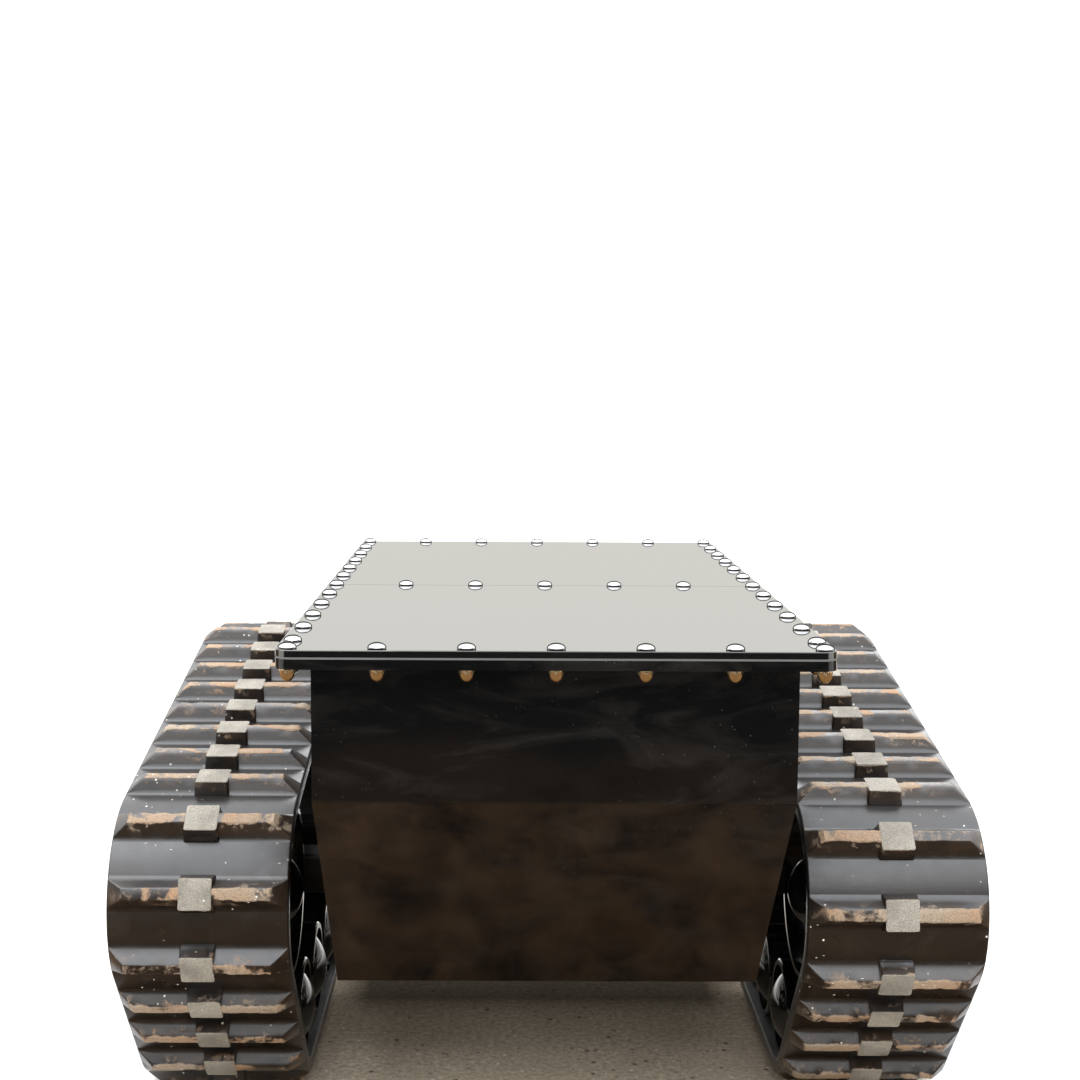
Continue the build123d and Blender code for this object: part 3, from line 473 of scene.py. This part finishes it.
MATERIALS = {
    "hull_paint": gloss_black("hull_paint", 1.42, 0.05, 0.3, tint=(0.004, 0.002, 0.0), low_brown_mottle=True),
    "lid_paint": gloss_black("lid_paint", 1.9, 0.03, 0.05, gleam=(1.0, 0.975, 0.90), peel=0.000004),
    "wheel_paint": gloss_black("wheel_paint", 1.5, 0.09, 0.4),
    "frame_paint": gloss_black("frame_paint", 1.5, 0.28, 0.6),
    "motor_paint": gloss_black("motor_paint", 1.5, 0.35, 0.1),
    "cast_housing": bare_metal("cast_housing", (0.30, 0.30, 0.31), 0.42, (1.0, 1.0, 1.0)),
    "bolt_chrome": dome_chrome(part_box("lid_front_plate")[1][2]),
    "nut_zinc": bare_metal("nut_zinc", (1.0, 0.79, 0.47), 0.17, (1.0, 1.0, 1.0), metal_grain=0.06),
    "machined_steel": bare_metal("machined_steel", (0.66, 0.66, 0.67), 0.22, (0.1, 1.0, 1.0)),
    "track_rubber": track_rubber(),
    "gasket_rubber": moulded("gasket_rubber", (0.13, 0.128, 0.122), 0.6),
    "bare_aluminium": bare_metal("bare_aluminium", (0.76, 0.77, 0.78), 0.28, (0.05, 1.0, 1.0)),
    "battery_case": moulded("battery_case", (0.05, 0.12, 0.26), 0.42),
    "moulded_plastic": moulded("moulded_plastic", (0.03, 0.03, 0.03), 0.4),
}
SLOTS = {entry["node"]: entry["material_slot"] for entry in frame["record"]["subparts"]}
NO_BEVEL = ("lid_gasket", "left_wheel_bearings", "right_wheel_bearings", "lid_bolts", "lid_nuts",
            "left_track_belt", "right_track_belt")
BEVEL = 0.6 * MM


def dress_node(name):
    """Give a CAD node its material, and round its sharp edges a little."""
    node = frame["nodes"][name]
    for place in node.material_slots:
        place.material = MATERIALS[SLOTS[name]]
    if name not in NO_BEVEL:
        edge = node.modifiers.new("edges", "BEVEL")
        edge.width = BEVEL
        edge.segments = 2
        edge.limit_method = "ANGLE"
        edge.angle_limit = radians(32)
        edge.harden_normals = False


# ---------------------------------------------------------------- pieces
def new_piece(name, work, body, slot, stands_for=()):
    """Turn a bmesh into a piece on a body, in place of the CAD nodes that it stands for."""
    mesh = bpy.data.meshes.new(name)
    work.to_mesh(mesh)
    work.free()
    piece = bpy.data.objects.new(name, mesh)
    bpy.context.collection.objects.link(piece)
    mesh.materials.append(MATERIALS[slot])
    mesh.shade_smooth()
    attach(piece, body)
    if stands_for:
        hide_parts(*stands_for)
    return piece


def joint_spot(name):
    """A joint's place at rest, from the record."""
    spots = {joint["name"]: joint.get("pos_m") for joint in frame["record"]["behaviour"]["joints"]}
    return Vector(spots[name])


def spun(work, section, centre, steps=48):
    """Revolve a section of (radius, height) points about an upright axis, closed at the axis."""
    rings = []
    for radius, height in section:
        if radius == 0.0:
            rings.append([work.verts.new(centre + Vector((0, 0, height)))])
        else:
            rings.append([
                work.verts.new(centre + Vector((radius * cos(a), radius * sin(a), height)))
                for a in (2 * pi * i / steps for i in range(steps))
            ])
    for lower, upper in zip(rings, rings[1:]):
        for i in range(steps):
            j = (i + 1) % steps
            corners = [ring[k % len(ring)] for ring, k in ((lower, i), (lower, j), (upper, j), (upper, i))]
            work.faces.new(list(dict.fromkeys(corners)))


# ---------------------------------------------------------------- belt
# Sizes as in its CAD model; heights are from the pitch line, outward
LINK_PITCH = 72 * MM
LINKS = 27
STEPS = 12  # rings of vertices in each link
CARCASS_IN = 8 * MM
CARCASS_OUT = 9 * MM
TREAD_TOP = 26 * MM
BELT_PHASE = {"right": 64.5 * MM, "left": 48 * MM}
BELT_HALF = 100 * MM
WHEEL_GAP = 0.3 * MM
LUG_DEPTH = 14 * MM
BAR_BASE_HALF = 15.5 * MM
BAR_CREST_HALF = 6.5 * MM
BAR_END = 98.5 * MM
BAR_CREST_END = 81 * MM
BAR_FLARE = 2.6 * MM
BAR_ROOT = 6 * MM
BAR_STATIONS = 44
BLOCK_HALF = (18.5 * MM, 17.5 * MM)
BLOCK_FLARE = 1.6 * MM
BLOCK_EDGE = 1.1 * MM
BLOCK_CORNER = 2.4 * MM


def wheel_radius(node):
    """A wheel's tread radius, from its CAD box."""
    low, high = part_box(node)
    return (high[2] - low[2]) / 2


def sprocket_pitch_radius(side):
    """The sprocket's pitch radius: a whole number of half links round it."""
    tread = wheel_radius(f"{side}_sprocket")
    teeth = round(2 * pi * (tread + CARCASS_IN) / (LINK_PITCH / 2))
    return teeth * LINK_PITCH / 2 / (2 * pi)


class Loop:
    """The belt's pitch line round one side's wheels, in the YZ plane."""

    def __init__(self, side):
        spots = [joint_spot(f"{side}_{name}") for name in
                 ("road_wheel_1_spin", "road_wheel_3_spin", "drive_spin", "idler_spin")]
        reach = CARCASS_IN + WHEEL_GAP
        road = wheel_radius(f"{side}_road_wheel_1") + reach
        idler = wheel_radius(f"{side}_idler_wheel") + reach
        radii = [road, road, sprocket_pitch_radius(side), idler]
        self.x = spots[0].x
        wheels = [(spot.y, spot.z, radius) for spot, radius in zip(spots, radii)]
        normals = []
        for a, b in zip(wheels, wheels[1:] + wheels[:1]):
            dy, dz = b[0] - a[0], b[1] - a[1]
            normals.append(atan2(dz, dy) - acos((a[2] - b[2]) / hypot(dy, dz)))
        self.parts = []
        for i, (y, z, r) in enumerate(wheels):
            begin, end = normals[i - 1], normals[i]
            while end < begin:
                end += 2 * pi
            after = wheels[(i + 1) % len(wheels)]
            leave = (y + r * cos(end), z + r * sin(end))
            arrive = (after[0] + after[2] * cos(end), after[1] + after[2] * sin(end))
            self.parts.append(((y, z, r), begin, end, leave, arrive))

    def at(self, distance):
        """Place on the pitch line and the outward direction there, as (y, z) pairs."""
        distance %= LINKS * LINK_PITCH
        for (y, z, r), begin, end, leave, arrive in self.parts:
            arc = r * (end - begin)
            if distance <= arc:
                angle = begin + distance / r
                return (y + r * cos(angle), z + r * sin(angle)), (cos(angle), sin(angle))
            distance -= arc
            run = hypot(arrive[0] - leave[0], arrive[1] - leave[1])
            if distance <= run:
                t = distance / run
                spot = (leave[0] + t * (arrive[0] - leave[0]), leave[1] + t * (arrive[1] - leave[1]))
                return spot, (cos(end), sin(end))
            distance -= run
        return arrive, (cos(end), sin(end))

    def point(self, distance, across, height):
        """World point at a distance along, across the belt and off the pitch line."""
        (y, z), (ny, nz) = self.at(distance)
        return Vector((self.x + across, y + ny * height, z + nz * height))

    def flat_point(self, middle, offset, across, height):
        """As point, but on the straight line that touches the belt at the middle of a feature."""
        (y, z), (ny, nz) = self.at(middle)
        return Vector((self.x + across, y + ny * height - nz * offset, z + nz * height + ny * offset))

    def stiff_point(self, middle, offset, across, height):
        """As point, but a tall feature keeps its moulded shape while its root bends with the belt."""
        bent = self.point(middle + offset, across, height)
        flat = self.flat_point(middle, offset, across, height)
        blend = min(max((height - CARCASS_OUT) / (5 * MM), 0.0), 1.0)
        return bent.lerp(flat, blend)


def skin(work, rows, closed_rows=False, closed_ends=True):
    """Faces between rows of vertices, each row a closed ring, with caps on the open ends."""
    count = len(rows[0])
    pairs = list(zip(rows, rows[1:])) + ([(rows[-1], rows[0])] if closed_rows else [])
    for a, b in pairs:
        for i in range(count):
            j = (i + 1) % count
            work.faces.new((a[i], a[j], b[j], b[i]))
    if closed_ends and not closed_rows:
        work.faces.new(list(reversed(rows[0])))
        work.faces.new(rows[-1])


def carcass_section():
    """The belt's cross-section, as (across, height) round a closed outline with soft edges."""
    edge = 2.2 * MM
    corners = (
        (BELT_HALF - edge, CARCASS_OUT - edge, 0),
        (-BELT_HALF + edge, CARCASS_OUT - edge, 1),
        (-BELT_HALF + edge, -CARCASS_IN + edge, 2),
        (BELT_HALF - edge, -CARCASS_IN + edge, 3),
    )
    outline = []
    for x, h, quarter in corners:
        for step in range(4):
            angle = pi / 2 * (quarter + step / 3)
            outline.append((x + edge * cos(angle), h + edge * sin(angle)))
    return outline


def tread_share(height):
    """How far up the tread a height is: 0 at the carcass, 1 at a bar's crest."""
    return (height - CARCASS_OUT) / (TREAD_TOP - CARCASS_OUT)


def random_seed(rng):
    """A random place in the noise, so that no two bars or blocks are chipped alike."""
    return Vector((rng.uniform(0, 50), rng.uniform(0, 50), rng.uniform(0, 50)))


def bar_section(crest):
    """Half-widths and heights up one side of a bar whose crest is at a given height."""
    slope = (BAR_BASE_HALF - BAR_CREST_HALF) / (TREAD_TOP - CARCASS_OUT)
    top_half = BAR_CREST_HALF + slope * (TREAD_TOP - crest)
    side = [
        (BAR_BASE_HALF + BAR_FLARE, BAR_ROOT),
        (BAR_BASE_HALF + BAR_FLARE, CARCASS_OUT),
        (BAR_BASE_HALF + BAR_FLARE * 0.3, CARCASS_OUT + min(0.5 * MM, (crest - CARCASS_OUT) * 0.2)),
    ]
    start, stop = CARCASS_OUT + min(2.2 * MM, (crest - CARCASS_OUT) * 0.4), crest - 0.9 * MM
    for step in range(6):
        height = start + (stop - start) * step / 5
        side.append((top_half + slope * (crest - height), height))
    side += [(top_half - 0.2 * MM, crest - 0.25 * MM), (top_half - 1.0 * MM, crest)]
    return side


def above_ground(spot):
    """A point of the tread, pressed up to the ground plane if it would dip below."""
    return Vector((spot.x, spot.y, max(spot.z, 0.1 * MM)))


def add_bar(work, loop, middle, paint, rng):
    """One cross bar: a moulded ridge with chamfered ends and chipped crest edges."""
    seed = random_seed(rng)
    rows = []
    for station in range(BAR_STATIONS + 1):
        across = -BAR_END + 2 * BAR_END * station / BAR_STATIONS
        fall = min(max((abs(across) - BAR_CREST_END) / (BAR_END - BAR_CREST_END), 0.0), 1.0)
        crest = TREAD_TOP + fall * (CARCASS_OUT + 1.2 * MM - TREAD_TOP)
        side = bar_section(crest)
        row = []
        for half, height in side + [(-half, height) for half, height in reversed(side)]:
            rise = tread_share(height)
            if rise > 0.6:
                chip = noise.noise(seed + Vector((across * 90, half * 60, height * 60)))
                bite = max(chip - 0.12, 0.0) * 2.6 * MM * (rise - 0.6) / 0.4
                half -= bite * (1 if half > 0 else -1)
                height -= bite * 0.6
            vertex = work.verts.new(above_ground(loop.stiff_point(middle, half, across, height)))
            wear = min(max((height - CARCASS_OUT) / (crest - CARCASS_OUT), 0.0), 1.0) * (1 - 0.45 * fall)
            vertex[paint] = (wear, 0.0, 0.0, 1.0)
            row.append(vertex)
        rows.append(row)
    skin(work, rows)


def rounded_square(half_x, half_y, soft):
    """A closed outline with rounded corners and three points along each side."""
    quarters = ((1, 1), (-1, 1), (-1, -1), (1, -1))

    def on_corner(quarter, angle):
        sx, sy = quarters[quarter % 4]
        return sx * (half_x - soft) + soft * cos(angle), sy * (half_y - soft) + soft * sin(angle)

    ring = []
    for quarter in range(4):
        ring += [on_corner(quarter, pi / 2 * (quarter + step / 3)) for step in range(4)]
        start, finish = ring[-1], on_corner(quarter + 1, pi / 2 * (quarter + 1))
        ring += [(start[0] + (finish[0] - start[0]) * t, start[1] + (finish[1] - start[1]) * t)
                 for t in (0.25, 0.5, 0.75)]
    return ring


def block_levels():
    """How far a guide block's sides stand out at each height, from its root up over its top edge."""
    wall = TREAD_TOP - BLOCK_EDGE - CARCASS_OUT
    levels = [(BLOCK_FLARE, BAR_ROOT), (BLOCK_FLARE, CARCASS_OUT)]
    levels += [(BLOCK_FLARE * (1 - i / 6), CARCASS_OUT + wall * i / 6) for i in range(1, 7)]
    levels += [(-BLOCK_EDGE * (1 - cos(a)), TREAD_TOP + 0.2 * MM - BLOCK_EDGE * (1 - sin(a)))
               for a in (pi / 8, pi / 4, pi / 2.6, pi / 2)]
    return levels


def add_block(work, loop, middle, paint, rng):
    """The guide block in the middle of a bar, its top edge rounded and chipped by wear."""
    seed = random_seed(rng)
    rows = []
    for grow, height in block_levels():
        rise = tread_share(height)
        row = []
        for x, y in rounded_square(BLOCK_HALF[0] + grow, BLOCK_HALF[1] + grow, BLOCK_CORNER):
            bump = noise.noise(seed + Vector((x * 110, y * 110, height * 40)))
            chip = max(bump - 0.1, 0.0) * 2.0 * MM * max(rise - 0.5, 0)
            shrink = 1 - chip / BLOCK_HALF[0]
            spot = loop.stiff_point(middle, y * shrink, x * shrink, height - chip * 0.4)
            vertex = work.verts.new(above_ground(spot))
            vertex[paint] = (min(max(rise, 0.0), 1.0), 1.0, 0.0, 1.0)
            row.append(vertex)
        rows.append(row)
    skin(work, rows)


def add_lug(work, loop, middle, paint):
    """A drive lug on the belt's inner face."""
    rows = []
    for half_across, half_along, height in (
        (17.0, 8.5, -CARCASS_IN + 4 * MM),
        (16.2, 6.8, -CARCASS_IN - 5 * MM),
        (15.2, 4.9, -CARCASS_IN - LUG_DEPTH + 1.0 * MM),
        (14.4, 4.2, -CARCASS_IN - LUG_DEPTH),
    ):
        row = []
        for sx, sy in ((1, 1), (-1, 1), (-1, -1), (1, -1)):
            spot = loop.flat_point(middle, sy * half_along * MM, sx * half_across * MM, height)
            vertex = work.verts.new(spot)
            vertex[paint] = (0.0, 0.0, 1.0, 1.0)
            row.append(vertex)
        rows.append(row)
    skin(work, rows)


def make_belt(side):
    """One rubber track: carcass, bars, guide blocks and drive lugs.

    The colours painted on it say how worn, whether on a block's top, and whether on the inner face.
    """
    rng = random.Random(f"belt {side}")
    loop = Loop(side)
    work = bmesh.new()
    paint = work.verts.layers.float_color.new("tread")
    outline = carcass_section()
    rows = []
    for step in range(LINKS * STEPS):
        row = []
        for across, height in outline:
            vertex = work.verts.new(loop.point(step * LINK_PITCH / STEPS, across, height))
            vertex[paint] = (0.0, 0.0, 1.0 if height < -CARCASS_IN + 1 * MM else 0.0, 1.0)
            row.append(vertex)
        rows.append(row)
    skin(work, rows, closed_rows=True)
    for link in range(LINKS):
        middle = BELT_PHASE[side] + link * LINK_PITCH
        add_bar(work, loop, middle, paint, rng)
        add_block(work, loop, middle, paint, rng)
        for step in (0.0, LINK_PITCH / 2):
            add_lug(work, loop, middle + step, paint)
    bmesh.ops.recalc_face_normals(work, faces=work.faces)
    piece = new_piece(f"{side}_rubber_track", work, "chassis", "track_rubber", (f"{side}_track_belt",))
    smooth_by_angle(piece, 34)


def smooth_by_angle(piece, angle):
    """Keep edges sharper than an angle crisp, and shade the rest smoothly."""
    with bpy.context.temp_override(object=piece, active_object=piece, selected_objects=[piece],
                                   selected_editable_objects=[piece]):
        bpy.ops.object.shade_smooth_by_angle(angle=radians(angle))


# ---------------------------------------------------------------- bolts and nuts
BOLT_PITCH = 86 * MM
BOLT_HEAD_R = 9.2 * MM
BOLT_SHANK_R = 3.9 * MM
NUT_WASHER_R = 8.0 * MM
NUT_HEX_R = 7.2 * MM
NUT_DOME_R = 7.3 * MM
NUT_DOME_FOOT = 5.0 * MM
NUT_DOME_RISE = 8.6 * MM


def bolt_spots():
    """Places of the lid's bolts, from their CAD box: those round the rim, then those on the seam."""
    _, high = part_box("lid_bolts")
    edge, row = high[0] - BOLT_HEAD_R, high[1] - BOLT_HEAD_R
    rim = [(x * BOLT_PITCH, y) for x in range(-3, 4) for y in (-row, row)]
    rim += [(side * edge, row - i * BOLT_PITCH) for side in (-1, 1) for i in range(1, 12)]
    return rim, [(x * BOLT_PITCH, row - 6 * BOLT_PITCH) for x in range(-2, 3)]


def make_lid_bolts():
    """Polished dome heads, one on each bolt of the lid."""
    low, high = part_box("lid_bolts")
    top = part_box("lid_front_plate")[1][2]
    head_h, foot = high[2] - top, low[2] - top  # the section's heights are from the lid's top
    section = [(0.0, foot), (BOLT_SHANK_R - 0.3 * MM, foot), (BOLT_SHANK_R, foot + 0.3 * MM),
               (BOLT_SHANK_R, 0.1 * MM), (BOLT_HEAD_R - 0.5 * MM, 0.1 * MM), (BOLT_HEAD_R, 0.6 * MM)]
    section += [(BOLT_HEAD_R * cos(a), 0.8 * MM + (head_h - 0.8 * MM) * sin(a))
                for a in (pi / 2 * i / 14 for i in range(1, 14))]
    section += [(0.0, head_h)]
    work = bmesh.new()
    for spots in bolt_spots():
        for x, y in spots:
            spun(work, section, Vector((x, y, top)), 40)
    bmesh.ops.recalc_face_normals(work, faces=work.faces)
    piece = new_piece("lid_dome_bolts", work, "chassis", "bolt_chrome", ("lid_bolts",))
    smooth_by_angle(piece, 40)


def nut_levels():
    """Radius, depth below the seat and how hexagonal, down a washer, a short hexagon and a dome."""
    levels = [(NUT_WASHER_R, 0.0, 0.0), (NUT_WASHER_R, 0.9 * MM, 0.0), (NUT_DOME_R, 1.0 * MM, 0.0)]
    levels += [(NUT_HEX_R, 1.1 * MM, 1.0), (NUT_HEX_R, 3.6 * MM, 1.0)]
    levels += [(NUT_DOME_R, 4.4 * MM, 0.3), (NUT_DOME_R, NUT_DOME_FOOT, 0.0)]
    levels += [(NUT_DOME_R * cos(a), NUT_DOME_FOOT + NUT_DOME_RISE * sin(a), 0.0)
               for a in (pi / 2 * i / 12 for i in range(1, 12))]
    return levels


def make_cap_nuts():
    """Golden cap nuts, under the rim and under the strip of the seam."""
    sides = 48
    rim, seam = bolt_spots()
    rim_seat, seam_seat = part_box("hull_rim_flange")[0][2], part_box("lid_seam_strip")[0][2]
    work = bmesh.new()
    for x, y, seat in [(*spot, rim_seat) for spot in rim] + [(*spot, seam_seat) for spot in seam]:
        rows = []
        for radius, depth, hexagon in nut_levels():
            row = []
            for angle in (2 * pi * i / sides for i in range(sides)):
                flat = 1 / cos((angle % (pi / 3)) - pi / 6)
                reach = radius * (1 + hexagon * (min(flat, 1.12) - 1))
                row.append(work.verts.new((x + reach * cos(angle), y + reach * sin(angle), seat - depth)))
            rows.append(row)
        skin(work, rows)
    bmesh.ops.recalc_face_normals(work, faces=work.faces)
    piece = new_piece("lid_cap_nuts", work, "chassis", "nut_zinc", ("lid_nuts",))
    smooth_by_angle(piece, 42)


# ---------------------------------------------------------------- the scene
bpy.context.scene.view_settings.view_transform = "Standard"
make_camera()
make_world()
make_floor()
make_flag()
make_light("key", (-1.6, -0.6, 3.0), (0, 0, 0.3), (2.4, 2.4), 28)
make_light("back", (0.6, 3.2, 2.6), (0, 0, 0.4), (3.2, 1.6), 40)

for side in SIDES:
    make_belt(side)
make_lid_bolts()
make_cap_nuts()

for name in frame["nodes"]:
    dress_node(name)
